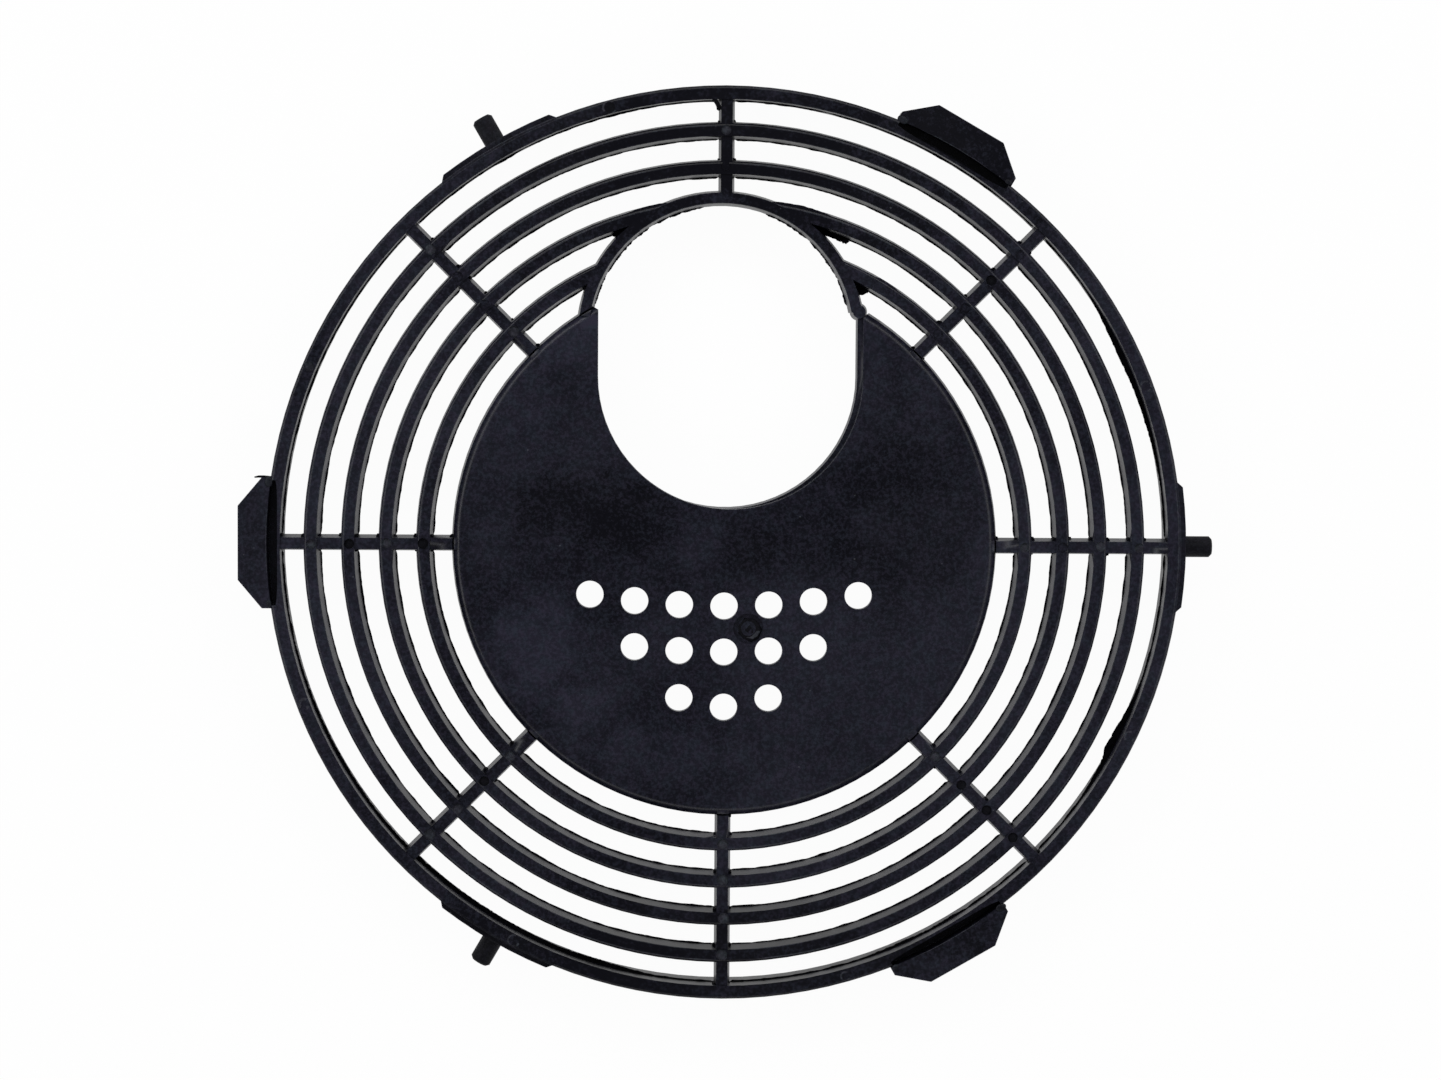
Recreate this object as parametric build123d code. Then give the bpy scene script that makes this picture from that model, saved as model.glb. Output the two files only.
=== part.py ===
from build123d import *

import os
from math import asin, cos, degrees, radians, sin, sqrt

# Air inlet grille moulded in one piece of black plastic. Millimetres, +Z out of the ribbed face.
# The origin is on the axis of the rim, at its foot, so the grille lies with its face up on z = 0.
# The opening is toward +Y and the first locating pin points along +X.

# Rim: the deep outer ring that reaches into the casing
rim_outer_r = 100.0
rim_wall = 3.0
rim_height = 11.3
rim_bevel = 0.6  # outer corner of the face

# Ribs: rings, spokes, arch and collar all taper toward the face, so that they leave the mould
rib_depth = 5.0
rib_flare = 0.52  # growth of each side from face to foot
ring_bevel = 0.5  # outer corner of a ring's face
ring_face_w = 2.75
ring_count = 4
disc_gap = 5.12  # clear gap from the disc to the first ring, at the face
rim_gap = 5.22  # clear gap from the last ring to the rim, at the face
spoke_count = 8
spoke_face_w = 2.45
spoke_drop = 0.25  # the spokes' faces lie this far under the rings'
rib_bite = 1.2  # how far the ends of the spokes run into the disc's edge and the rim

# Disc: a blanking plate with a downturned edge as deep as the ribs
disc_r = 59.22
plate_t = 2.2
disc_bevel_w = 1.5
disc_bevel_h = 0.8
disc_edge_wall = 2.0

# Opening: a U-shaped slot in the plate, a collar below it and an arch that closes it at the top
slot_x = 1.1
slot_y = 36.8
slot_r = 28.88
slot_corner = 0.9  # the disc's two corners beside the opening are worn back this far
collar_x = -0.1
collar_r = 28.6  # inner side at the foot
collar_face_w = 2.0
collar_inset = 1.4  # the collar's legs stop this far inside the disc's edge
arch_x = -1.0
arch_lift = 8.84  # centre of the arch above the centre of the slot's round end
arch_r = 28.33  # inner side at the foot
arch_face_w = 2.3
arch_knob_r = 1.4  # rounded end of the arch over the right leg, at the face
arch_knob_out = 0.55  # it bulges this far to the outside of the arch
arch_start = 10.5  # the arch runs between these angles about its own centre
arch_end = 172.0

# Vent holes: three rows that bow down
hole_d = 6.0
hole_pitch = 9.78
hole_row_counts = (7, 5, 3)
hole_row_ys = (-13.3, -23.4, -35.5)  # the middle hole of each row
hole_bow_rs = (178.0, 178.0, 24.4)

# Gate mark: the recess with a broken stub where the plastic was fed in
gate_x = 5.35
gate_y = -18.2
gate_d = 6.6
gate_depth = 0.8
gate_stub_d = 3.2
gate_stub_h = 0.55

# Tabs: flat plates outside the rim, on a springy wall with a deep groove behind it
lug_count = 3
first_tab_angle = 60.0
tab_reach = 6.2  # beyond the rim
tab_shoulder = 0.95  # beyond the rim, where the slanted corners start
tab_w = 28.6
tab_flat_w = 16.2
tab_t = 2.4
tab_drop = 0.3  # the plate lies this far under the rim's face
tab_wall = 2.0
groove_back = 1.05  # rim wall left inside the groove
groove_w = 27.4  # the tab's ends close the groove
groove_floor = 5.8  # height of the groove's floor
tab_root_t = 2.0  # web under the groove

# Pins and pads: the pads thicken the rim's lower part where the pins stand
first_pin_angle = 0.0
pin_d = 4.6
pin_reach = 7.1  # beyond the rim
pin_bevel = 0.6
pin_z = 6.3
pad_proud = 1.2
pad_over = 0.7  # the pad reaches this far above the pin
pad_under = 1.7  # and this far below it
pad_w = 26.4
pad_ramp = 1.2  # slanted ends

# Worked out from the sizes above
face_z = rim_height
foot_z = face_z - rib_depth
plate_under_z = face_z - plate_t
rim_inner_r = rim_outer_r - rim_wall
first_ring_r = disc_r + disc_gap + ring_face_w / 2
last_ring_r = rim_inner_r - rim_gap - ring_face_w / 2
ring_pitch = (last_ring_r - first_ring_r) / (ring_count - 1)
arch_y = slot_y + arch_lift
lug_step = 360.0 / lug_count


def bevelled(outline, size):
    """Bevels the upper outer corner of a section drawn with x outward and y up."""
    corner = outline.vertices().group_by(Axis.Y)[-1].sort_by(Axis.X)[-1]
    return chamfer(corner, size)


def rib_section(face_w, top_z):
    """Section of a rib about x = 0: face_w wide at the common face, rib_flare wider each side below."""
    low = face_w / 2 + rib_flare
    high = face_w / 2 + rib_flare * (face_z - top_z) / rib_depth
    return Polygon((-low, foot_z), (low, foot_z), (high, top_z), (-high, top_z), align=None)


def swept_round(section, radius, start, end):
    """Turns a section about the Z axis at the given radius, from one angle to another."""
    return Rot(0, 0, start) * revolve(Plane.XZ * (Pos(radius, 0) * section), Axis.Z, end - start)


def arc_band(inner_r, outer_r, low_z, high_z):
    """Full ring of rectangular section about the Z axis."""
    return Pos(0, 0, low_z) * extrude(Circle(outer_r) - Circle(inner_r), high_z - low_z)


def slot_outline(centre_x, radius, top_y):
    """U shape: a half circle about (centre_x, slot_y) with straight sides up to top_y."""
    straight = top_y - slot_y
    sides = Pos(centre_x, slot_y + straight / 2) * Rectangle(2 * radius, straight)
    return Pos(centre_x, slot_y) * Circle(radius) + sides


def make_rim():
    section = Polygon(
        (rim_inner_r, 0),
        (rim_outer_r, 0),
        (rim_outer_r, face_z),
        (rim_inner_r, face_z),
        align=None,
    )
    return revolve(Plane.XZ * bevelled(section, rim_bevel), Axis.Z)


def make_rings():
    section = bevelled(rib_section(ring_face_w, face_z), ring_bevel)
    radii = [first_ring_r + i * ring_pitch for i in range(ring_count)]
    return [swept_round(section, radius, 0, 360) for radius in radii]


def make_spokes():
    section = rib_section(spoke_face_w, face_z - spoke_drop)
    start = disc_r - rib_bite
    length = rim_inner_r + rib_bite - start
    across = Plane(origin=(start, 0, 0), x_dir=(0, 1, 0), z_dir=(1, 0, 0))
    spoke = extrude(across * section, length)
    return [Rot(0, 0, 360.0 * i / spoke_count) * spoke for i in range(spoke_count)]


def make_disc():
    edge_foot_r = disc_r + rib_flare
    section = Polygon(
        (0, plate_under_z),
        (disc_r - disc_edge_wall, plate_under_z),
        (edge_foot_r - disc_edge_wall, foot_z),
        (edge_foot_r, foot_z),
        (disc_r, face_z - disc_bevel_h),
        (disc_r - disc_bevel_w, face_z),
        (0, face_z),
        align=None,
    )
    plate = revolve(Plane.XZ * section, Axis.Z)
    beyond = disc_r + rib_depth
    slot = Pos(0, 0, plate_under_z) * extrude(slot_outline(slot_x, slot_r, beyond), 2 * plate_t)
    below = extrude(slot_outline(collar_x, collar_r + rib_flare, beyond), plate_under_z)
    corners = []
    for side in (-1, 1):
        corner_x = slot_x + side * slot_r
        corner_y = sqrt(disc_r**2 - corner_x**2)
        lean = side * (90 - degrees(asin(abs(corner_x) / disc_r))) / 2
        worn = Pos(0, disc_bevel_w - slot_corner, 0) * Box(4 * disc_bevel_w, 2 * disc_bevel_w, 3 * face_z)
        corners.append(Pos(corner_x, corner_y, 0) * Rot(0, 0, lean) * worn)
    return plate - slot - below - corners


def make_collar():
    """Rib around the lower part of the opening, under the plate."""
    centre_r = collar_r + rib_flare + collar_face_w / 2
    section = rib_section(collar_face_w, plate_under_z)
    bend = Pos(collar_x, slot_y, 0) * swept_round(section, centre_r, 180, 360)
    across = Plane.XZ.offset(-slot_y)
    leg_length = arch_lift + arch_r * sin(radians(arch_start)) + arch_face_w
    legs = [
        extrude(across * (Pos(collar_x + side * centre_r, 0) * section), -leg_length)
        for side in (-1, 1)
    ]
    reach = extrude(Circle(disc_r - collar_inset), plate_under_z)
    return [bend] + [leg & reach for leg in legs]


def make_arch():
    """Rib that closes the opening outside the disc, at the full height of the rings."""
    centre_r = arch_r + rib_flare + arch_face_w / 2
    section = rib_section(arch_face_w, face_z)
    arc = Pos(arch_x, arch_y, 0) * swept_round(section, centre_r, arch_start, arch_end)
    knob_x = arch_x + centre_r * cos(radians(arch_start)) + arch_knob_out
    knob_y = arch_y + centre_r * sin(radians(arch_start))
    knob = Cone(arch_knob_r + rib_flare, arch_knob_r, rib_depth)
    return [arc, Pos(knob_x, knob_y, (foot_z + face_z) / 2) * knob]


def hole_places():
    places = []
    for count, middle_y, bow_r in zip(hole_row_counts, hole_row_ys, hole_bow_rs):
        for i in range(count):
            x = (i - (count - 1) / 2) * hole_pitch
            places.append((x, middle_y + bow_r - sqrt(bow_r**2 - x**2)))
    return places


def make_tab():
    """One tab on the +X side, with the wall and the web that carry it."""
    plate_top = face_z - tab_drop
    plate_low = plate_top - tab_t
    root_low = groove_floor - tab_root_t
    half = tab_w / 2
    flat_half = tab_flat_w / 2
    shoulder_x = rim_outer_r + tab_shoulder
    inside_x = rim_inner_r - rim_wall
    outline = Polygon(
        (inside_x, -half),
        (shoulder_x, -half),
        (rim_outer_r + tab_reach, -flat_half),
        (rim_outer_r + tab_reach, flat_half),
        (shoulder_x, half),
        (inside_x, half),
        align=None,
    )
    column = Pos(0, 0, root_low) * extrude(outline, plate_top - root_low)
    upper = arc_band(rim_outer_r, rim_outer_r + 2 * tab_reach, plate_low, plate_top)
    wall = arc_band(rim_outer_r, rim_outer_r + tab_wall, root_low, plate_low)
    root = arc_band(rim_outer_r - rim_wall / 2, rim_outer_r, root_low, groove_floor)
    return column & (upper + wall + root)


def make_groove():
    """The groove behind one tab, on the +X side."""
    inner_r = rim_inner_r + groove_back
    groove = arc_band(inner_r, rim_outer_r, groove_floor, face_z + tab_t)
    span = Pos(rim_outer_r, 0, 0) * Box(4 * rim_wall, groove_w, 4 * rim_height)
    return groove & span


def make_pad():
    """One pad with its pin, on the +X side."""
    outer_r = rim_outer_r + pad_proud
    half = pad_w / 2
    wide = half + pad_ramp
    outline = Polygon(
        (rim_inner_r, -wide),
        (sqrt(rim_outer_r**2 - wide**2), -wide),
        (sqrt(outer_r**2 - half**2), -half),
        (outer_r + pad_proud, -half),
        (outer_r + pad_proud, half),
        (sqrt(outer_r**2 - half**2), half),
        (sqrt(rim_outer_r**2 - wide**2), wide),
        (rim_inner_r, wide),
        align=None,
    )
    low_z = pin_z - pin_d / 2 - pad_under
    high_z = pin_z + pin_d / 2 + pad_over
    pad = extrude(outline, face_z) & arc_band(rim_outer_r - rim_wall / 2, outer_r, low_z, high_z)
    root_x = rim_outer_r - rim_wall / 2
    pin = extrude(Plane.YZ.offset(root_x) * Circle(pin_d / 2), rim_wall / 2 + pin_reach)
    pin = chamfer(pin.edges().sort_by(Axis.X)[-1], pin_bevel)
    return pad + Pos(0, 0, pin_z) * pin


def make_gate():
    """Recess to cut and stub to leave at the gate mark."""
    floor_z = face_z - gate_depth
    recess = Pos(gate_x, gate_y, floor_z) * extrude(Circle(gate_d / 2), 2 * gate_depth)
    stub = Pos(gate_x, gate_y, floor_z) * extrude(Circle(gate_stub_d / 2), gate_stub_h)
    return recess, stub


def make_grille():
    skeleton = make_rim() + make_rings() + make_spokes()
    blank = Pos(0, 0, -face_z) * extrude(Circle(disc_r - rib_bite), 3 * face_z)
    clear_r = arch_r + rib_flare + arch_face_w / 2
    clear = Pos(arch_x, arch_y, -face_z) * extrude(Circle(clear_r), 3 * face_z)
    skeleton = skeleton - blank - clear
    recess, stub = make_gate()
    disc = make_disc() - recess + stub
    holes = [
        Pos(x, y, 0) * extrude(Circle(hole_d / 2), 2 * face_z)
        for x, y in hole_places()
    ]
    disc = disc - holes
    grille = skeleton + disc + make_collar() + make_arch()
    tab = make_tab()
    groove = make_groove()
    pad = make_pad()
    for i in range(lug_count):
        turn_tab = Rot(0, 0, first_tab_angle + i * lug_step)
        turn_pin = Rot(0, 0, first_pin_angle + i * lug_step)
        grille = grille - turn_tab * groove + turn_tab * tab + turn_pin * pad
    return grille


inlet_grille = make_grille()
os.makedirs("parts", exist_ok=True)
export_step(inlet_grille, "parts/inlet_grille.step")
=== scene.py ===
import random
from math import atan2, cos, degrees, radians, sin, sqrt

import bmesh
import bpy
from mathutils import Matrix, Vector, noise


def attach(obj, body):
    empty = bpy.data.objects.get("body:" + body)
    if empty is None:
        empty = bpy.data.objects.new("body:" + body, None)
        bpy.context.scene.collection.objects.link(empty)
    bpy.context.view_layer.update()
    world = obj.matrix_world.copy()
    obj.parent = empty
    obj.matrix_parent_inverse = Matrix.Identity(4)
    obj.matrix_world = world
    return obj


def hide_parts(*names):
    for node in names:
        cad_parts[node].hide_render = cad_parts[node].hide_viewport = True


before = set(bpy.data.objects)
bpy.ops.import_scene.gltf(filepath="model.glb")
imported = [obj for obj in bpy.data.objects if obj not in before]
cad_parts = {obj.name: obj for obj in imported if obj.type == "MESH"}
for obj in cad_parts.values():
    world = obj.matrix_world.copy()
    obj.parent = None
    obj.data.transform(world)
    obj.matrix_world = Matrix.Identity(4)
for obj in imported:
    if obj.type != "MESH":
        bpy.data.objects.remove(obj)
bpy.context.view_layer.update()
mm = 0.001


# The moulding: rim, rings, spokes, blanking disc, arch, tabs and pins, shot in one go from black plastic.
# Its finishes come first, then its clean faces, the marks of the ejector pins, the seams round the disc
# and the cheeks behind the tabs. Last the corners are softened and rolled over, as the mould leaves them.
def new_group(name, inputs, outputs):
    """A shader node group with named float inputs and their defaults, and named float outputs."""
    group = bpy.data.node_groups.new(name, "ShaderNodeTree")
    for label, value in inputs:
        socket = group.interface.new_socket(label, in_out="INPUT", socket_type="NodeSocketFloat")
        socket.default_value = value
    for label in outputs:
        group.interface.new_socket(label, in_out="OUTPUT", socket_type="NodeSocketFloat")
    return group, group.nodes.new("NodeGroupInput"), group.nodes.new("NodeGroupOutput")


def feed(tree, socket, value):
    """Sets an input to a number or a colour, or links the output of another node to it."""
    if isinstance(value, (int, float, tuple)):
        socket.default_value = value
    else:
        tree.links.new(value, socket)


def math_node(tree, operation, first, second=0.0, clamp=False):
    """A Math node whose two inputs are sockets or numbers."""
    node = tree.nodes.new("ShaderNodeMath")
    node.operation = operation
    node.use_clamp = clamp
    feed(tree, node.inputs[0], first)
    feed(tree, node.inputs[1], second)
    return node.outputs[0]


def place_on_part(tree):
    """The place on the part that is shaded, in metres."""
    return tree.nodes.new("ShaderNodeTexCoord").outputs["Object"]


def distance_out(tree, x, y):
    """How far out a place lies, from its two offsets."""
    squares = [math_node(tree, "POWER", math_node(tree, "ABSOLUTE", offset), 2.0) for offset in (x, y)]
    return math_node(tree, "SQRT", math_node(tree, "ADD", *squares))


def noise_at(tree, place, scale, detail, roughness):
    """Cloudy noise from 0 to 1. scale is a socket or a number."""
    node = tree.nodes.new("ShaderNodeTexNoise")
    node.inputs["Detail"].default_value = detail
    node.inputs["Roughness"].default_value = roughness
    feed(tree, node.inputs["Vector"], place)
    feed(tree, node.inputs["Scale"], scale)
    return node.outputs["Fac"]


def remap(tree, value, low, high, to_low=0.0, to_high=1.0):
    """A soft step that is to_low where value is low, and to_high where it is high."""
    node = tree.nodes.new("ShaderNodeMapRange")
    node.interpolation_type = "SMOOTHSTEP"
    feed(tree, node.inputs["Value"], value)
    feed(tree, node.inputs["From Min"], low)
    feed(tree, node.inputs["From Max"], high)
    feed(tree, node.inputs["To Min"], to_low)
    feed(tree, node.inputs["To Max"], to_high)
    return node.outputs["Result"]


# Flow mottle: the cloudy patches and fine streaks that cooling plastic leaves on a black moulding.
flow_mottle, mottle_in, mottle_out = new_group(
    "flow mottle",
    [("Patches per metre", 26.0)],
    ["Cloud", "Streak", "Tint"],
)
mottle_place = place_on_part(flow_mottle)
for label, times_finer, detail, roughness, low, high in (
    ("Cloud", 1.0, 5.0, 0.60, 0.32, 0.68),
    ("Streak", 9.0, 5.0, 0.62, 0.40, 0.72),
    ("Tint", 14.0, 4.0, 0.70, 0.42, 0.60),
):
    scale = math_node(flow_mottle, "MULTIPLY", mottle_in.outputs[0], times_finer)
    clouds = noise_at(flow_mottle, mottle_place, scale, detail, roughness)
    flow_mottle.links.new(remap(flow_mottle, clouds, low, high), mottle_out.inputs[label])

# Spark grain: the fine matte texture of the mould's steel, with the pale points of its peaks.
spark_grain, grain_in, grain_out = new_group(
    "spark grain",
    [("Grains per metre", 1300.0)],
    ["Height", "Peaks"],
)
grain = noise_at(spark_grain, place_on_part(spark_grain), grain_in.outputs[0], 3.0, 0.75)
spark_grain.links.new(grain, grain_out.inputs["Height"])
spark_grain.links.new(remap(spark_grain, grain, 0.40, 0.66), grain_out.inputs["Peaks"])

# Dust: single pale specks, most of them smaller than a grain of sand.
dust, dust_in, dust_out = new_group(
    "dust specks",
    [("Cells per metre", 420.0)],
    ["Specks"],
)
dust_cells = dust.nodes.new("ShaderNodeTexVoronoi")
dust.links.new(place_on_part(dust), dust_cells.inputs["Vector"])
dust.links.new(dust_in.outputs[0], dust_cells.inputs["Scale"])
dust_pick = dust.nodes.new("ShaderNodeSeparateColor")
dust.links.new(dust_cells.outputs["Color"], dust_pick.inputs[0])
dust_size = remap(dust, dust_pick.outputs[1], 0.0, 1.0, 0.03, 0.09)
dust_spot = math_node(dust, "LESS_THAN", dust_cells.outputs["Distance"], dust_size)
dust_rare = math_node(dust, "GREATER_THAN", dust_pick.outputs[0], 0.90)
dust.links.new(math_node(dust, "MULTIPLY", dust_spot, dust_rare), dust_out.inputs["Specks"])

# Painted light patch: a ragged oval painted paler as painted light, or darker as painted shade.
light_patch, light_patch_in, light_patch_out = new_group(
    "painted light patch",
    [("Centre X", 0.0), ("Centre Y", 0.0), ("Half width", 0.01), ("Half height", 0.01), ("Ragged", 0.7)],
    ["Mask"],
)
light_patch_place = place_on_part(light_patch)
light_patch_axes = light_patch.nodes.new("ShaderNodeSeparateXYZ")
light_patch.links.new(light_patch_place, light_patch_axes.inputs[0])
offsets = []
for axis, half in (("X", "Half width"), ("Y", "Half height")):
    centre = light_patch_in.outputs["Centre " + axis]
    offset = math_node(light_patch, "SUBTRACT", light_patch_axes.outputs[axis], centre)
    offsets.append(math_node(light_patch, "DIVIDE", offset, light_patch_in.outputs[half]))
frayed = noise_at(light_patch, light_patch_place, 150.0, 4.0, 0.6)
frayed = math_node(light_patch, "MULTIPLY", math_node(light_patch, "SUBTRACT", frayed, 0.5), 2.4)
frayed = math_node(light_patch, "MULTIPLY", frayed, light_patch_in.outputs["Ragged"])
spread = math_node(light_patch, "ADD", distance_out(light_patch, *offsets), frayed)
light_patch.links.new(remap(light_patch, spread, 0.25, 1.15, 1.0, 0.0), light_patch_out.inputs["Mask"])


def use_group(tree, group):
    """Places a node group in a material."""
    node = tree.nodes.new("ShaderNodeGroup")
    node.node_tree = group
    return node


def add_share(tree, share, mask, weight):
    """Adds a mask to a share, by its weight."""
    return math_node(tree, "ADD", share, math_node(tree, "MULTIPLY", mask, weight))


def mix_colours(tree, share, first, second):
    """A colour between first and second, which are sockets or colours."""
    node = tree.nodes.new("ShaderNodeMix")
    node.data_type = "RGBA"
    feed(tree, node.inputs["Factor"], share)
    feed(tree, node.inputs["A"], first)
    feed(tree, node.inputs["B"], second)
    return node.outputs["Result"]


disc_r = 60.0
dust_grey = (0.16, 0.17, 0.19, 1.0)


def black_plastic(name, dark, pale, rough, base=-0.14, patches=(), plate=0.0, gloss=0.3):
    """Matte black plastic, from its darkest colour to its palest. base is how pale it is under its
    mottle, patches are ovals of painted light and shade as (x, y, half width, half height, paler by) in
    millimetres, and plate is how much paler the grained disc is than the ribs round it."""
    material = bpy.data.materials.new(name)
    material.use_nodes = True
    tree = material.node_tree
    shader = tree.nodes["Principled BSDF"]
    shader.inputs["Specular IOR Level"].default_value = gloss
    mottle = use_group(tree, flow_mottle)
    fine = use_group(tree, spark_grain)
    share = add_share(tree, base, mottle.outputs["Cloud"], 0.34)
    share = add_share(tree, share, mottle.outputs["Streak"], 0.14)
    share = add_share(tree, share, fine.outputs["Peaks"], 0.50)
    for x, y, half_x, half_y, paler in patches:
        patch = use_group(tree, light_patch)
        patch.inputs["Centre X"].default_value = x * mm
        patch.inputs["Centre Y"].default_value = y * mm
        patch.inputs["Half width"].default_value = half_x * mm
        patch.inputs["Half height"].default_value = half_y * mm
        share = add_share(tree, share, patch.outputs["Mask"], paler)
    if plate:
        axes = tree.nodes.new("ShaderNodeSeparateXYZ")
        tree.links.new(place_on_part(tree), axes.inputs[0])
        reach = distance_out(tree, axes.outputs["X"], axes.outputs["Y"])
        disc = remap(tree, reach, (disc_r - 0.5) * mm, (disc_r + 0.5) * mm, plate, 0.0)
        share = math_node(tree, "ADD", share, disc)
    share = math_node(tree, "MAXIMUM", share, 0.0)
    warmer = (pale[0] * 1.05, pale[1] * 0.96, pale[2], 1.0)
    cooler = (pale[0] * 0.93, pale[1] * 1.06, pale[2], 1.0)
    tinted = mix_colours(tree, mottle.outputs["Tint"], warmer, cooler)
    mottled = mix_colours(tree, share, (*dark, 1.0), tinted)
    specks = use_group(tree, dust).outputs["Specks"]
    dusted = mix_colours(tree, math_node(tree, "MULTIPLY", specks, 0.20), mottled, dust_grey)
    tree.links.new(dusted, shader.inputs["Base Color"])
    rougher = add_share(tree, rough - 0.04, mottle.outputs["Cloud"], 0.08)
    tree.links.new(rougher, shader.inputs["Roughness"])
    bump = tree.nodes.new("ShaderNodeBump")
    bump.inputs["Strength"].default_value = 0.4
    bump.inputs["Distance"].default_value = 0.02 * mm
    tree.links.new(fine.outputs["Height"], bump.inputs["Height"])
    tree.links.new(bump.outputs["Normal"], shader.inputs["Normal"])
    return material


# Painted light and shade: paler where more light falls, such as the upper left and the arch's top, and
# darker where less falls, such as over the three pins.
light_and_shade_patches = (
    (-35, 46, 11, 9, 0.34),
    (-43, 30, 9, 14, 0.20),
    (-29.6, 48.6, 2.6, 2.0, 0.8),
    (28.6, 49.0, 1.6, 1.4, 0.7),
    (31, 45, 7, 9, 0.10),
    (-36, 8, 13, 10, -0.27),
    (-21, 5, 10, 10, -0.24),
    (6, -1, 8, 6, -0.24),
    (-5, 1, 6, 7, 0.18),
    (21, 17, 8, 5, -0.12),
    (42, 6, 20, 34, -0.22),
    (22, -2, 14, 8, -0.10),
    (-42, -22, 15, 14, 0.50),
    (-32, -36, 11, 8, 0.26),
    (-14, -46, 20, 8, 0.24),
    (26, -43, 12, 8, -0.05),
    (0, 82, 75, 26, -0.44),
    (-1, 75.5, 9, 3.5, 0.45),
    (0, -90, 75, 18, -0.37),
    (53, 92, 22, 14, -0.32),
    (53, -92, 18, 14, -0.08),
    (-103, 0, 5, 14, -0.22),
    (106, 0, 6, 5, -0.45),
    (-53, 92, 5, 5, -0.40),
    (-53, -92, 5, 5, -0.40),
    (-92, 0, 14, 60, 0.06),
    (92, 20, 14, 50, 0.18),
)
moulded_black = black_plastic(
    "moulded black plastic",
    dark=(0.0012, 0.0012, 0.0038),
    pale=(0.0222, 0.0226, 0.0376),
    rough=0.35,
    base=-0.01,
    patches=light_and_shade_patches,
    plate=0.02,
    gloss=0.26,
)
# Paler corners: partly rubbed wear, partly painted highlight along the rounded corners and in the ejector
# pits.
rubbed_and_highlit_edge = black_plastic(
    "rubbed corners and painted highlights",
    dark=(0.006, 0.006, 0.010),
    pale=(0.046, 0.049, 0.063),
    rough=0.45,
    base=0.06,
    gloss=0.2,
)
# Painted shade: a darker, duller colour for faces that lie in recesses: the disc's seams, the cheeks
# behind the tabs, some pit floors and the sprue's stub.
recess_shade = black_plastic(
    "painted shade in recesses",
    dark=(0.0016, 0.0016, 0.0030),
    pale=(0.0070, 0.0070, 0.0105),
    rough=0.6,
    gloss=0.08,
)
# The pins are coloured darker than the rest of the moulding, as painted shade from the rim beside them,
# and have a duller gloss.
shaded_pins = black_plastic(
    "pins, painted shade",
    dark=(0.0028, 0.0028, 0.0046),
    pale=(0.0135, 0.0135, 0.0200),
    rough=0.6,
    gloss=0.1,
)
plain, rubbed_and_highlit, shaded_recess, shaded_pin = range(4)

face_z = 11.3
foot_z = 6.3
ring_radii = (65.715, 73.945, 82.175, 90.405)
spoke_step = 45
tab_angles = (60, 180, 300)
weld = 0.002
flat_within = radians(0.3)
grille_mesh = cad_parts["inlet_grille"].data.copy()
grille_mesh.name = "grille_moulding"
shell = bmesh.new()
shell.from_mesh(grille_mesh)
bmesh.ops.remove_doubles(shell, verts=shell.verts, dist=weld * mm)
bmesh.ops.dissolve_limit(shell, angle_limit=flat_within, verts=shell.verts, edges=shell.edges)
shell.to_mesh(grille_mesh)
shell.free()
moulding = bpy.data.objects.new("grille_moulding", grille_mesh)
bpy.context.collection.objects.link(moulding)
grille_mesh.materials.clear()
grille_mesh.materials.append(moulded_black)


def polar(radius, angle):
    """A place in millimetres from the rim's axis, and an angle in degrees from the first pin."""
    return radius * cos(radians(angle)), radius * sin(radians(angle))


def turned(x, y, angle):
    """The place x, y turned round the rim's axis by an angle in degrees."""
    turn = radians(angle)
    return x * cos(turn) - y * sin(turn), x * sin(turn) + y * cos(turn)


def add_bar(shape, rows, finish=plain):
    """Adds a closed bar to shape. Each row holds the corners of a cross-section, in millimetres."""
    rings = [[shape.verts.new(Vector(point) * mm) for point in row] for row in rows]
    faces = [shape.faces.new(rings[0]), shape.faces.new(list(reversed(rings[-1])))]
    for ring, after in zip(rings, rings[1:]):
        for i in range(len(ring)):
            j = (i + 1) % len(ring)
            faces.append(shape.faces.new((ring[i], ring[j], after[j], after[i])))
    for face in faces:
        face.material_index = finish


def volume_of(mesh):
    """The volume of a closed mesh, in cubic metres."""
    shape = bmesh.new()
    shape.from_mesh(mesh)
    volume = shape.calc_volume()
    shape.free()
    return volume


least_left = 0.97
most_left = 1.001


def cut_away(target, cutter, name):
    """Cuts the closed shapes of cutter out of target. A cut that leaves no sound body is undone."""
    bmesh.ops.recalc_face_normals(cutter, faces=cutter.faces)
    mesh = bpy.data.meshes.new(name)
    cutter.to_mesh(mesh)
    cutter.free()
    for finish in (moulded_black, rubbed_and_highlit_edge, recess_shade):
        mesh.materials.append(finish)
    tool = bpy.data.objects.new(name, mesh)
    bpy.context.collection.objects.link(tool)
    cut = target.modifiers.new(name, "BOOLEAN")
    cut.operation = "DIFFERENCE"
    cut.solver = "EXACT"
    cut.object = tool
    cut.material_mode = "TRANSFER"
    bpy.context.view_layer.update()
    shaped = target.evaluated_get(bpy.context.evaluated_depsgraph_get())
    result = bpy.data.meshes.new_from_object(shaped)
    target.modifiers.clear()
    bpy.data.objects.remove(tool)
    whole = volume_of(target.data)
    if least_left * whole < volume_of(result) < most_left * whole:
        target.data = result
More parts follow.
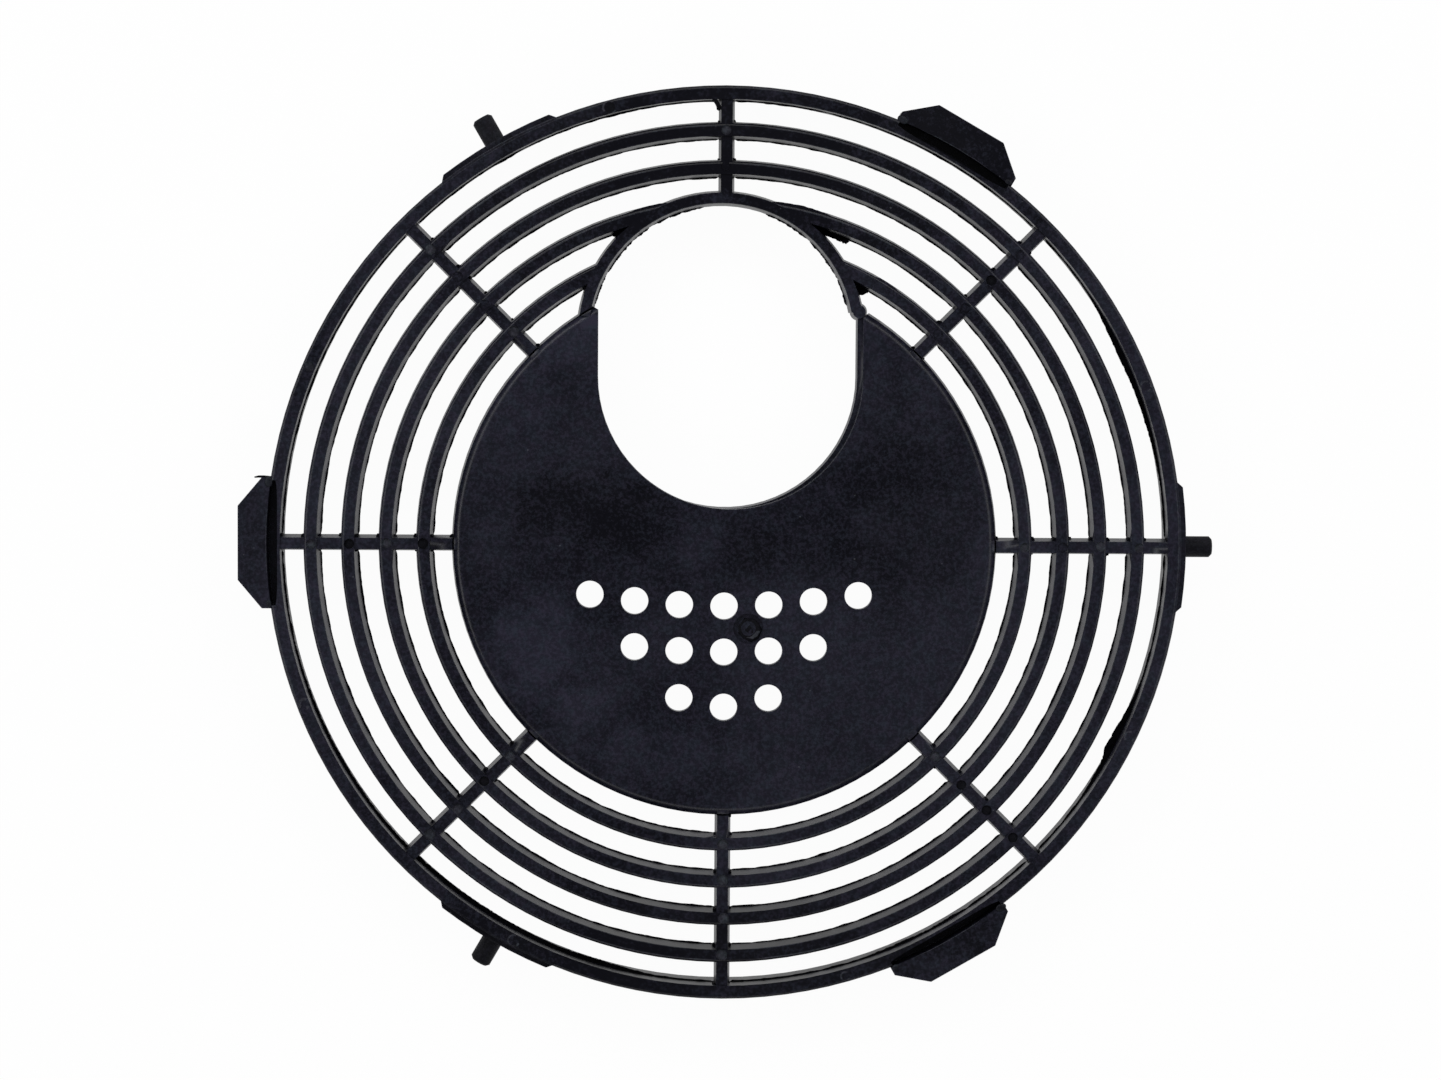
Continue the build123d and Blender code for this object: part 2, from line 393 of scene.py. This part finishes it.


# Ejector marks: shallow round pits where the pins of the mould pushed the grille out.
# They sit on the crossings of rings and spokes. The wider ones on the rim have a sloping edge, painted
# paler as rubbed wear and painted highlight; a floor is left plain, painted paler the same way, or
# painted dark as shade.
pit_dice = random.Random(41)
pin_sides = 28
above_face = 0.4
steep = 0.08
pits = []
for spoke in range(8):
    for ring, radius in enumerate(ring_radii):
        if spoke == 2 and ring < 2:
            continue
        stray = pit_dice.uniform(-0.35, 0.35)
        sway = pit_dice.uniform(-0.3, 0.3)
        place = polar(radius + stray, spoke_step * spoke + degrees(sway / radius))
        pit_r = pit_dice.uniform(0.95, 1.17)
        depth = pit_dice.uniform(0.22, 0.5)
        finish = pit_dice.choice((plain, rubbed_and_highlit, rubbed_and_highlit, shaded_recess))
        pits.append((place, pit_r, steep, depth, finish, finish))
for angle, radius, pit_r, slope, depth, finish in (
    (21.0, 98.2, 0.95, 0.40, 0.25, shaded_recess),
    (105.0, 98.4, 1.20, 0.42, 0.24, plain),
    (157.0, 98.5, 1.05, 0.10, 0.35, shaded_recess),
    (201.0, 98.2, 0.75, 0.60, 0.22, rubbed_and_highlit),
    (242.3, 98.5, 1.05, 0.40, 0.24, plain),
    (286.0, 98.6, 0.80, 0.35, 0.18, plain),
    (335.0, 98.3, 0.90, 0.45, 0.20, plain),
):
    pits.append((polar(radius, angle), pit_r, slope, depth, finish, rubbed_and_highlit))
ejector_pins = bmesh.new()
for (x, y), pit_r, slope, depth, floor_finish, wall_finish in pits:
    before = len(ejector_pins.faces)
    height = depth + above_face
    made = bmesh.ops.create_cone(
        ejector_pins,
        cap_ends=True,
        segments=pin_sides,
        radius1=pit_r * mm,
        radius2=(pit_r + slope * height / depth) * mm,
        depth=height * mm,
    )
    bmesh.ops.translate(
        ejector_pins,
        verts=made["verts"],
        vec=Vector((x, y, face_z - depth + height / 2)) * mm,
    )
    ejector_pins.faces.ensure_lookup_table()
    for face in ejector_pins.faces[before:]:
        face.normal_update()
        face.material_index = floor_finish if face.normal.z < -0.99 else wall_finish
cut_away(moulding, ejector_pins, "ejector_pins")

# The blanking disc's edge: a fine seam is cut where the spokes and the arch run in under it, and its
# faces are painted dark as shade.
seam_section = ((59.02, 10.2), (59.42, 10.2), (59.42, 12.0), (59.02, 12.0))
seam_half = 2.6
seam_steps = 8
seam_spans = [
    (spoke_step * spoke - seam_half, spoke_step * spoke + seam_half)
    for spoke in (0, 1, 3, 4, 5, 6, 7)
]
seam_spans.append((117.6, 125.5))
seams = bmesh.new()
for start, end in seam_spans:
    rows = []
    for i in range(seam_steps + 1):
        angle = start + (end - start) * i / seam_steps
        rows.append([(*polar(radius, angle), height) for radius, height in seam_section])
    add_bar(seams, rows, shaded_recess)
cut_away(moulding, seams, "disc_edge_seams")

# Behind each tab the rim's wall is cut back to a straight cheek, thinnest at its middle, and its cut
# faces are painted dark as shade.
cheek_section = ((97.55, 11.6), (97.55, 11.2), (98.15, 9.6), (99.0, 9.6), (99.0, 11.6))
cheek_half = 9.7
cheeks = bmesh.new()
for tab_angle in tab_angles:
    rows = []
    for across in (-cheek_half, cheek_half):
        rows.append([(*turned(outward, across, tab_angle), height) for outward, height in cheek_section])
    add_bar(cheeks, rows, shaded_recess)
cut_away(moulding, cheeks, "groove_cheeks")

# Softened corners, rounded chain by chain. A corner with a very short edge beside it stays as it is,
# since its rounding would run over that edge, and so do the corners of a face that came out crossed.
corner_width = 0.13
corner_steps = 2
sharp_from = radians(38)
shortest_beside = 0.8
overlap_allowed = 0.2
most_rounds = 8


def rounded_corners(mesh, kept_sharp):
    """A copy of mesh with rounded corners, but not round the faces numbered in kept_sharp, and the
    numbers of the faces of mesh that came out crossed."""
    shape = bmesh.new()
    shape.from_mesh(mesh)
    number = shape.faces.layers.int.new("face number")
    for face in shape.faces:
        face[number] = face.index
    waiting = set()
    for edge in shape.edges:
        if len(edge.link_faces) != 2 or edge.calc_face_angle(0.0) < sharp_from:
            continue
        if any(face.index in kept_sharp for face in edge.link_faces):
            continue
        beside = [other.calc_length() for vert in edge.verts for other in vert.link_edges]
        if min(beside) > shortest_beside * mm:
            waiting.add(edge)
    chains = []
    for edge in list(shape.edges):
        if edge not in waiting:
            continue
        waiting.remove(edge)
        chain = [edge]
        for link in chain:
            for vert in link.verts:
                for other in vert.link_edges:
                    if other in waiting:
                        waiting.remove(other)
                        chain.append(other)
        chains.append(chain)
    # The rounded corners take the paler colour: partly rubbed wear, partly painted highlight along the
    # edges.
    for chain in chains:
        bmesh.ops.bevel(
            shape,
            geom=chain,
            offset=corner_width * mm,
            offset_type="OFFSET",
            segments=corner_steps,
            profile=0.5,
            affect="EDGES",
            clamp_overlap=True,
            material=rubbed_and_highlit,
        )
    covered = {}
    for corners in shape.calc_loop_triangles():
        a, b, c = (corner.vert.co for corner in corners)
        face = corners[0].face
        covered[face] = covered.get(face, 0.0) + (b - a).cross(c - a).length / 2
    crossed = set()
    for face, area in covered.items():
        if area > face.calc_area() + overlap_allowed * mm * mm:
            crossed.add(face[number])
    result = bpy.data.meshes.new(mesh.name)
    shape.faces.layers.int.remove(number)
    shape.to_mesh(result)
    shape.free()
    return result, crossed


kept_sharp = set()
for attempt in range(most_rounds):
    softened, crossed = rounded_corners(moulding.data, kept_sharp)
    if crossed <= kept_sharp:
        break
    kept_sharp |= crossed
for finish in moulding.data.materials:
    softened.materials.append(finish)
moulding.data = softened
for face in moulding.data.polygons:
    face.use_smooth = True
moulding.data.set_sharp_from_angle(angle=radians(35))
flatten = moulding.modifiers.new("flat faces between the corners", "WEIGHTED_NORMAL")
flatten.keep_sharp = True
flatten.weight = 100
bpy.context.view_layer.update()
flattened = moulding.evaluated_get(bpy.context.evaluated_depsgraph_get())
rounded = bpy.data.meshes.new_from_object(flattened)
moulding.modifiers.clear()
moulding.data = rounded

# The outer edges of disc, rings and rim are rolled over: they tilt more and more outward from the face.
# Beside a pin's pad the rim's edge runs out flush.
disc_edge = (57.7, 59.0)
ring_edges = [(radius + 0.85, radius + 1.45) for radius in ring_radii]
rim_edge = (99.4, 100.0)
lowest_rolled = 10.2
least_lean = 8
more_lean = 54
pad_step = 120
pad_half = 7.9
past_rim_r = 101.3


def on_a_pad(place):
    """Whether a place on the rim is beside the pad of one of the three pins."""
    angle = degrees(atan2(place.y, place.x))
    return abs((angle + pad_step / 2) % pad_step - pad_step / 2) < pad_half


tilts = [corner.vector.copy() for corner in rounded.corner_normals]
for face in rounded.polygons:
    if not 0.15 < face.normal.z < 0.98:
        continue
    places = [rounded.vertices[i].co / mm for i in face.vertices]
    if min(place.z for place in places) < lowest_rolled:
        continue
    middle = sum((place.xy for place in places), Vector((0, 0))) / len(places)
    if face.normal.xy.normalized().dot(middle.normalized()) < 0.8:
        continue
    for rolled in (disc_edge, *ring_edges, rim_edge):
        inner, outer = rolled
        if min(place.xy.length for place in places) < inner - 0.2:
            continue
        if max(place.xy.length for place in places) > outer + 0.3:
            continue
        flush = rolled == rim_edge and on_a_pad(middle)
        for corner, place in zip(face.loop_indices, places):
            share = min(max((place.xy.length - inner) / (outer - inner), 0.0), 1.0)
            lean = radians(least_lean + (0 if flush else more_lean * share))
            outward = Vector((place.x, place.y, 0)).normalized()
            tilts[corner] = outward * sin(lean) + Vector((0, 0, cos(lean)))
rounded.normals_split_custom_set(tilts)

rounded.materials.append(shaded_pins)
for face in rounded.polygons:
    if face.center.xy.length > past_rim_r * mm and on_a_pad(face.center):
        face.material_index = shaded_pin

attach(moulding, "root")
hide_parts("inlet_grille")


# Flash: thin plastic pressed out along the parting line, which runs round the feet of the ribs. It stays
# on as a fine torn lip, as wider black tongues where the mould did not close, on the rim's inner wall and
# under the rings beside the arch, and as small webs in the corners where spokes and rings cross. Its
# darker colour is partly painted shade, where it sits at the feet of the walls and in the corners.
torn_flash_and_shade = black_plastic(
    "torn flash, painted shade",
    dark=(0.0010, 0.0010, 0.0016),
    pale=(0.0080, 0.0078, 0.0115),
    rough=0.8,
    gloss=0.05,
)


def torn_outline(points, dice, step, tear):
    """Goes round a closed outline in short steps and shakes each of them, as plastic tears."""
    torn = []
    for place, start in enumerate(points):
        end = points[(place + 1) % len(points)]
        length = sqrt((end[0] - start[0]) ** 2 + (end[1] - start[1]) ** 2)
        count = max(1, round(length / step))
        for i in range(count):
            share = i / count
            torn.append((
                start[0] + (end[0] - start[0]) * share + dice.gauss(0, tear),
                start[1] + (end[1] - start[1]) * share + dice.gauss(0, tear),
            ))
    return torn


def torn_plate(shape, points, low, high, dice, step, tear):
    """Adds a thin plate with a torn edge to shape, from height low to height high, in millimetres."""
    outline = torn_outline(points, dice, step, tear)
    middle_x = sum(x for x, y in outline) / len(outline)
    middle_y = sum(y for x, y in outline) / len(outline)
    rows = []
    for height, inset in ((low, 0.06), ((low + high) / 2, 0.0), (high, 0.08)):
        row = []
        for x, y in outline:
            dx, dy = middle_x - x, middle_y - y
            length = max(sqrt(dx * dx + dy * dy), 0.01)
            pull = min(inset, length * 0.4)
            z = height + (dice.uniform(-0.04, 0.0) if height == high else 0.0)
            row.append(shape.verts.new(Vector((x + dx / length * pull, y + dy / length * pull, z)) * mm))
        rows.append(row)
    for lower, upper in zip(rows, rows[1:]):
        for i in range(len(lower)):
            j = (i + 1) % len(lower)
            shape.faces.new((lower[i], lower[j], upper[j], upper[i]))
    top = shape.faces.new(rows[-1])
    bottom = shape.faces.new(list(reversed(rows[0])))
    bmesh.ops.triangulate(shape, faces=[top, bottom])


def tongue(shape, radius, bite, reaches, low, high, dice, step=0.45, tear=0.05, centre=(0, 0)):
    """Adds a torn tongue along a round wall. reaches are (angle, reach) pairs; reach is inward from
    the wall, or outward where it is negative. bite is how far the root runs into the wall."""
    side = -1 if min(reach for angle, reach in reaches) < 0 else 1
    samples = []
    for (start, near), (end, far) in zip(reaches, reaches[1:]):
        count = max(1, round(radians(abs(end - start)) * radius / step))
        for i in range(count):
            samples.append((start + (end - start) * i / count, near + (far - near) * i / count))
    samples.append(reaches[-1])
    rows = []
    for angle, reach in samples:
        reach += side * dice.gauss(0, tear)
        droop = dice.uniform(0, 0.05)
        row = []
        for distance, height in (
            (radius + side * bite, low),
            (radius - reach, low),
            (radius - reach - side * 0.05, (low + high) / 2),
            (radius - reach, high - droop),
            (radius + side * bite, high),
        ):
            x, y = polar(distance, angle)
            row.append((centre[0] + x, centre[1] + y, height))
        rows.append(row)
    add_bar(shape, rows)


def add_piece(name, shape, materials, sharp=40):
    """Makes a piece of the grille from shape: it rides with the grille and is cast in its plastic."""
    bmesh.ops.recalc_face_normals(shape, faces=shape.faces)
    mesh = bpy.data.meshes.new(name)
    shape.to_mesh(mesh)
    shape.free()
    for face in mesh.polygons:
        face.use_smooth = True
    mesh.set_sharp_from_angle(angle=radians(sharp))
    for material in materials:
        mesh.materials.append(material)
    piece = bpy.data.objects.new(name, mesh)
    bpy.context.collection.objects.link(piece)
    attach(piece, "root")


flash_dice = random.Random(7)
tongues = bmesh.new()
rim_wall_r = 97.0
rim_tongues = (
    (
        (37, 0.1), (33, 0.5), (30, 0.9), (27, 1.25), (24, 1.2),
        (21, 1.0), (17, 0.85), (13, 0.6), (9, 0.4), (6, 0.15),
    ),
    (
        (-16, 0.1), (-19, 0.5), (-22, 1.0), (-25, 1.5), (-28, 1.75),
        (-28.8, 1.2), (-30, 0.8), (-33, 0.55), (-38, 0.1),
    ),
    (
        (-177, 0.1), (-168, 0.3), (-158, 0.5), (-150, 0.65), (-142, 0.5), (-136, 0.6), (-130, 0.85),
        (-124, 0.95), (-118, 0.9), (-112, 0.75), (-107, 1.0), (-101, 0.55), (-97, 0.1),
    ),
    ((-74, 0.1), (-70, 0.35), (-66, 0.6), (-62, 0.35), (-58, 0.5), (-55, 0.1)),
)
for reaches in rim_tongues:
    tongue(tongues, rim_wall_r, 0.4, reaches, foot_z - 0.35, foot_z + 0.05, flash_dice)
ring_tongues = (
    (72.05, ((75.6, 0.1), (74.0, 0.6), (72.0, 0.9), (70.0, 1.05), (68.3, 1.15), (67.9, 0.3))),
    (72.05, ((110.6, 0.1), (109.8, 0.7), (108.8, 0.5), (107.6, 1.3), (106.4, 1.9), (105.6, 1.4))),
    (63.82, ((64.8, 0.3), (63.4, 1.5), (62.3, 2.0), (61.2, 1.3), (60.6, 0.1))),
)
for wall_r, reaches in ring_tongues:
    tongue(tongues, wall_r, 0.3, reaches, foot_z - 0.1, foot_z + 0.5, flash_dice, step=0.35, tear=0.07)
add_piece("flash_tongues", tongues, [torn_flash_and_shade])

corner_webs = bmesh.new()
web_dice = random.Random(19)
rib_half = 1.895
spoke_half = 1.745
web_root = 0.5
small_web_odds = 0.22
junctions = [(radius, rib_half, rib_half) for radius in ring_radii]
junctions += [(59.74, 0.0, None), (rim_wall_r, None, 0.0)]
for spoke in range(8):
    for radius, outside, inside in junctions:
        if spoke == 2 and radius < 80:
            continue
        for along, gap in ((1, outside), (-1, inside)):
            if gap is None:
                continue
            for across in (1, -1):
                corner_angle = radians(spoke_step * spoke + (45 if along > 0 else 135) * across)
                upward = sin(corner_angle) > 0.5
                if not upward and web_dice.random() > small_web_odds:
                    continue
                size = web_dice.uniform(0.35, 0.75) if upward else web_dice.uniform(0.2, 0.45)
                edge = radius + along * gap
                corners = (
                    (edge - along * 0.6, across * (spoke_half - web_root)),
                    (edge - along * 0.6, across * (spoke_half + size * 0.7)),
                    (edge + along * size * 0.35, across * (spoke_half + size * 0.4)),
                    (edge + along * size * 0.8, across * (spoke_half - web_root)),
                )
                points = [turned(x, y, spoke_step * spoke) for x, y in corners]
                high = foot_z + web_dice.uniform(1.2, 4.0)
                torn_plate(corner_webs, points, foot_z, high, web_dice, step=0.3, tear=0.05)
add_piece("corner_webs", corner_webs, [torn_flash_and_shade])


def torn_lip(shape, radius, span, dice, height, wide=1.0):
    """A lip of flash a hair wide along the inner foot of a round wall, over a span of angles."""
    start, end = span
    count = max(8, round(radians(end - start) * radius / 0.7))
    rows = []
    drift = dice.uniform(0, 100)
    for i in range(count + 1):
        angle = start + (end - start) * i / count
        wave = noise.noise(Vector((drift, i * 0.22, radius)))
        width = wide * max(0.10, 0.27 + 0.18 * wave + dice.uniform(-0.04, 0.04))
        if i in (0, count):
            width = 0.03
        tip = polar(radius - width, angle)
        root = polar(radius + 0.12, angle)
        rows.append([
            (*root, height - 0.02),
            (*tip, height - 0.02),
            (*tip, height + 0.05),
            (*root, height + 0.3),
        ])
    add_bar(shape, rows)


def between_spokes(spoke, radius):
    """The angles between which a round wall runs from one spoke to the next."""
    off = degrees(spoke_half / radius)
    return spoke_step * spoke + off, spoke_step * (spoke + 1) - off


lips = bmesh.new()
lip_dice = random.Random(3)
arch_gaps = {0: (61.0, 118.0), 1: (76.0, 105.0)}
for ring, radius in enumerate(ring_radii):
    for spoke in range(8):
        start, end = between_spokes(spoke, radius)
        if ring in arch_gaps and spoke == 1:
            end = arch_gaps[ring][0]
        if ring in arch_gaps and spoke == 2:
            start = arch_gaps[ring][1]
        torn_lip(lips, radius - rib_half, (start, end), lip_dice, foot_z)
for spoke in range(8):
    torn_lip(lips, rim_wall_r, between_spokes(spoke, rim_wall_r), lip_dice, foot_z - 0.2, wide=1.3)
add_piece("parting_line_lips", lips, [torn_flash_and_shade])


# The arch over the opening: its feet and shoulders came out of the mould ragged. Crumbs of flash hang on
# its inner foot, and soft fillets of the same plastic fill its shoulders, where it runs into two rings.
arch_centre = (-1.0, 45.64)
arch_wall_r = 28.33
crumbs = bmesh.new()
crumb_dice = random.Random(23)
for start, end in ((14, 26), (27, 47), (49, 70), (98, 122), (124, 151), (153, 166)):
    reaches = []
    count = max(4, round((end - start) / 1.6))
    for i in range(count + 1):
        reach = 0.04 if i in (0, count) else crumb_dice.uniform(0.06, 0.34)
        reaches.append((start + (end - start) * i / count, reach))
    high = foot_z + crumb_dice.uniform(0.2, 0.7)
    tongue(crumbs, arch_wall_r, 0.3, reaches, foot_z, high, crumb_dice, 0.3, 0.04, arch_centre)
add_piece("arch_crumbs", crumbs, [torn_flash_and_shade])

shoulders = bmesh.new()
shoulder_dice = random.Random(5)
shoulder_top = face_z - 0.35
for wall_r, reaches in (
    (75.32, ((107.0, -0.02), (105.0, -0.3), (103.0, -0.42), (101.0, -0.42), (99.4, -0.2))),
    (75.32, ((83.0, -0.1), (81.0, -0.42), (78.5, -0.52), (76.0, -0.5), (74.0, -0.3), (71.8, -0.02))),
    (67.09, ((61.4, -0.02), (60.2, -0.3), (58.6, -0.36), (57.0, -0.25), (55.4, -0.02))),
):
    tongue(shoulders, wall_r, 0.5, reaches, foot_z, shoulder_top, shoulder_dice, step=0.5, tear=0.03)
add_piece("arch_shoulders", shoulders, [moulded_black])


# The sprue: where the plastic was fed in, its stub is broken off roughly inside the round recess.
# The break is a jagged little hill painted dark as shade in the recess, with paler facets on its lower
# right that are partly a fresh break and partly a painted highlight.
fresh_break_and_highlight = black_plastic(
    "fresh break and painted highlight",
    dark=(0.012, 0.014, 0.020),
    pale=(0.042, 0.047, 0.062),
    rough=0.45,
)
gate_x = 5.35
gate_y = -18.2
gate_floor = face_z - 0.8
hill_sides = 9
hill_steps = ((2.75, -0.02), (2.3, 0.22), (1.5, 0.42), (0.7, 0.55))
hill_off_x = 0.35
hill_off_y = -0.25
pale_from = 2.3
pale_above = 0.2
sprue_dice = random.Random(12)
sprue = bmesh.new()
sprue_rings = []
for reach, height in hill_steps:
    ring = []
    for i in range(hill_sides):
        angle = 360 / hill_sides * i + sprue_dice.uniform(-9, 9)
        x, y = polar(reach * sprue_dice.uniform(0.82, 1.08), angle)
        lift = height + (sprue_dice.uniform(-0.1, 0.12) if height > 0 else 0.0)
        place = Vector((gate_x + x + hill_off_x, gate_y + y + hill_off_y, gate_floor + lift)) * mm
        ring.append(sprue.verts.new(place))
    sprue_rings.append(ring)
for lower, upper in zip(sprue_rings, sprue_rings[1:]):
    for i in range(hill_sides):
        j = (i + 1) % hill_sides
        sprue.faces.new((lower[i], lower[j], upper[j]))
        sprue.faces.new((lower[i], upper[j], upper[i]))
sprue.faces.new(sprue_rings[-1])
sprue.faces.new(list(reversed(sprue_rings[0])))
bmesh.ops.recalc_face_normals(sprue, faces=sprue.faces)
for face in sprue.faces:
    middle = face.calc_center_median() / mm
    lower_right = (middle.x - gate_x) - (middle.y - gate_y)
    face.material_index = 1 if lower_right > pale_from and middle.z > gate_floor + pale_above else 0
add_piece("sprue_stub", sprue, [recess_shade, fresh_break_and_highlight], sharp=12)


# Slivers: hair-thin curls of plastic that the knife left when the flash was trimmed by hand. One hangs at
# the root of the top spoke, one off the end of the left tab, and one at the arch's right foot.
def sliver(shape, path, widths, heights, thick):
    """Adds a ribbon along a path, with its width and its height at each point of the path."""
    rows = []
    for i, (x, y) in enumerate(path):
        before = Vector(path[max(i - 1, 0)])
        after = Vector(path[min(i + 1, len(path) - 1)])
        run = (after - before).normalized()
        out = Vector((-run.y, run.x)) * widths[i] / 2
        rows.append([
            (x + out.x * side, y + out.y * side, heights[i] + up)
            for side, up in ((-1, 0.0), (1, 0.0), (0.8, thick), (-0.8, thick))
        ])
    add_bar(shape, rows)


slivers = bmesh.new()
sliver(
    slivers,
    path=[(-3.3, 97.6), (-2.7, 96.9), (-2.2, 96.2), (-1.9, 95.6), (-1.7, 95.1), (-2.0, 94.6)],
    widths=[0.7, 1.0, 1.0, 1.0, 1.2, 0.6],
    heights=[10.85, 10.8, 10.75, 10.6, 10.3, 10.0],
    thick=0.35,
)
sliver(
    slivers,
    path=[(-98.3, 14.25), (-99.6, 14.4), (-100.6, 14.45), (-101.7, 14.45), (-102.6, 14.3)],
    widths=[0.5, 0.5, 0.55, 0.5, 0.3],
    heights=[10.3, 10.3, 10.2, 10.0, 9.9],
    thick=0.3,
)
sliver(
    slivers,
    path=[(29.2, 56.4), (29.9, 55.8), (30.5, 55.9), (31.0, 55.2)],
    widths=[0.8, 0.9, 0.6, 0.2],
    heights=[7.4, 7.8, 8.0, 8.2],
    thick=0.5,
)
add_piece("trimming_slivers", slivers, [torn_flash_and_shade])


# Groove ends: behind each tab the rim's wall is moulded thicker toward the ends of the groove, so that
# the groove closes to a slit there.
groove_wall_r = 98.05
straight_wall = 97.6
groove_end_at = 5.7
groove_end_span = 2.3
groove_steps = 8
groove_floor = 6.0
groove_top = 11.24
groove_ends = bmesh.new()
groove_dice = random.Random(31)
for tab_angle in tab_angles:
    for side in (-1, 1):
        reaches = []
        for i in range(groove_steps + 1):
            away = groove_end_at + groove_end_span * i / groove_steps
            straight = straight_wall / cos(radians(away)) - groove_wall_r
            swell = 0.35 * (i / groove_steps) ** 3
            reaches.append((tab_angle + side * away, -(max(straight, 0.02) + swell)))
        tongue(
            groove_ends,
            groove_wall_r,
            0.3,
            reaches,
            groove_floor,
            groove_top,
            groove_dice,
            step=0.9,
            tear=0.015,
        )
add_piece("groove_ends", groove_ends, [moulded_black])


# Tab corners: the ends of each tab's plate next to the rim are pinched up into a small smooth bead.
# They are of the grille's own plastic, a little duller, and one end of each tab has the larger bead.
pinched = black_plastic(
    "pinched corners",
    dark=(0.0040, 0.0042, 0.0070),
    pale=(0.0200, 0.0230, 0.0310),
    rough=0.45,
    gloss=0.12,
)
bead_r = 99.45
bead_across = 13.35
bead_z = 10.86
bead_half = Vector((0.85, 1.25, 0.42))
large_bead = 1.0
small_bead = 0.7
beads = bmesh.new()
for tab_angle, side, size in (
    (60, 1, large_bead),
    (60, -1, small_bead),
    (180, -1, large_bead),
    (180, 1, small_bead),
    (300, 1, large_bead),
    (300, -1, small_bead),
):
    x, y = turned(bead_r, side * bead_across, tab_angle)
    made = bmesh.ops.create_uvsphere(beads, u_segments=18, v_segments=10, radius=1.0 * mm)
    bmesh.ops.scale(beads, verts=made["verts"], vec=bead_half * size)
    bmesh.ops.rotate(beads, verts=made["verts"], matrix=Matrix.Rotation(radians(tab_angle), 3, "Z"))
    bmesh.ops.translate(beads, verts=made["verts"], vec=Vector((x, y, bead_z)) * mm)
add_piece("tab_beads", beads, [pinched], sharp=80)


# The table top: a plain white sheet that the grille lies on.
# It shows as the white ground of the picture and keeps a faint shadow of the grille.
just_below = -0.02
ground_white = 0.965
mirrored_white = 0.68
bpy.ops.mesh.primitive_plane_add(size=6.0, location=(0, 0, just_below * mm))
table_top = bpy.context.object
table_top.name = "table_top"
white_sheet = bpy.data.materials.new("white sheet")
white_sheet.use_nodes = True
sheet_tree = white_sheet.node_tree
sheet_tree.nodes.clear()
lit_paper = sheet_tree.nodes.new("ShaderNodeBsdfDiffuse")
lit_paper.inputs["Color"].default_value = (0.9, 0.9, 0.9, 1)
white_ground = sheet_tree.nodes.new("ShaderNodeEmission")
white_ground.inputs["Color"].default_value = (1, 1, 1, 1)
white_ground.inputs["Strength"].default_value = 1.0
ray = sheet_tree.nodes.new("ShaderNodeLightPath")
seen = add_share(sheet_tree, ray.outputs["Is Camera Ray"], ray.outputs["Is Glossy Ray"], mirrored_white)
seen = math_node(sheet_tree, "ADD", seen, ray.outputs["Is Transmission Ray"], clamp=True)
sheet_mix = sheet_tree.nodes.new("ShaderNodeMixShader")
sheet_out = sheet_tree.nodes.new("ShaderNodeOutputMaterial")
sheet_tree.links.new(math_node(sheet_tree, "MULTIPLY", seen, ground_white), sheet_mix.inputs[0])
sheet_tree.links.new(lit_paper.outputs[0], sheet_mix.inputs[1])
sheet_tree.links.new(white_ground.outputs[0], sheet_mix.inputs[2])
sheet_tree.links.new(sheet_mix.outputs[0], sheet_out.inputs["Surface"])
table_top.data.materials.append(white_sheet)


# The studio: a dim room with four soft boxes round the table, the weakest of them in front.
# They stand low enough for the bevels to catch them while the flat faces stay dark.
room_glow = 0.12
room = bpy.data.worlds.new("studio room")
bpy.context.scene.world = room
room.use_nodes = True
room_tree = room.node_tree
room_tree.nodes.clear()
room_light = room_tree.nodes.new("ShaderNodeBackground")
room_light.inputs["Color"].default_value = (1, 1, 1, 1)
room_ray = room_tree.nodes.new("ShaderNodeLightPath")
room_strength = add_share(room_tree, room_glow, room_ray.outputs["Is Camera Ray"], 1 - room_glow)
room_tree.links.new(room_strength, room_light.inputs["Strength"])
room_out = room_tree.nodes.new("ShaderNodeOutputWorld")
room_tree.links.new(room_light.outputs[0], room_out.inputs["Surface"])

box_away = 1.0
box_height = 0.35
for name, azimuth, elevation, width, watts in (
    ("softbox_back", 90, 38, 1.1, 4.2),
    ("softbox_left", 165, 35, 1.4, 5.0),
    ("softbox_right", 15, 35, 1.4, 4.2),
    ("softbox_front", 262, 38, 1.2, 2.4),
):
    lamp = bpy.data.lights.new(name, "AREA")
    lamp.shape = "RECTANGLE"
    lamp.size = width
    lamp.size_y = box_height
    lamp.energy = watts
    box = bpy.data.objects.new(name, lamp)
    bpy.context.collection.objects.link(box)
    x, y = polar(box_away * cos(radians(elevation)), azimuth)
    box.location = (x, y, box_away * sin(radians(elevation)))
    box.rotation_euler = (-box.location).to_track_quat("-Z", "Y").to_euler()


# The camera: it hangs above the table, a little beyond the middle, with a long lens.
# It looks down on the ribbed face, and is turned by a third of a degree on its own axis.
sideways = 0.33
lens = bpy.data.cameras.new("camera")
lens.sensor_fit = "HORIZONTAL"
lens.sensor_width = 36.0
lens.lens = 96.2
lens.clip_start = 0.05
lens.clip_end = 20.0
camera = bpy.data.objects.new("camera", lens)
bpy.context.collection.objects.link(camera)
camera.location = Vector((-10.6, 52.5, 850.3)) * mm
aim = Vector((-0.87, 1.2, face_z)) * mm
camera.rotation_mode = "QUATERNION"
look = (aim - camera.location).to_track_quat("-Z", "Y")
up_now = look @ Vector((0, 1, 0))
roll = radians(sideways) + atan2(up_now.x, up_now.y)
camera.rotation_quaternion = look @ Matrix.Rotation(roll, 4, "Z").to_quaternion()
bpy.context.scene.camera = camera
bpy.context.scene.view_settings.view_transform = "Standard"
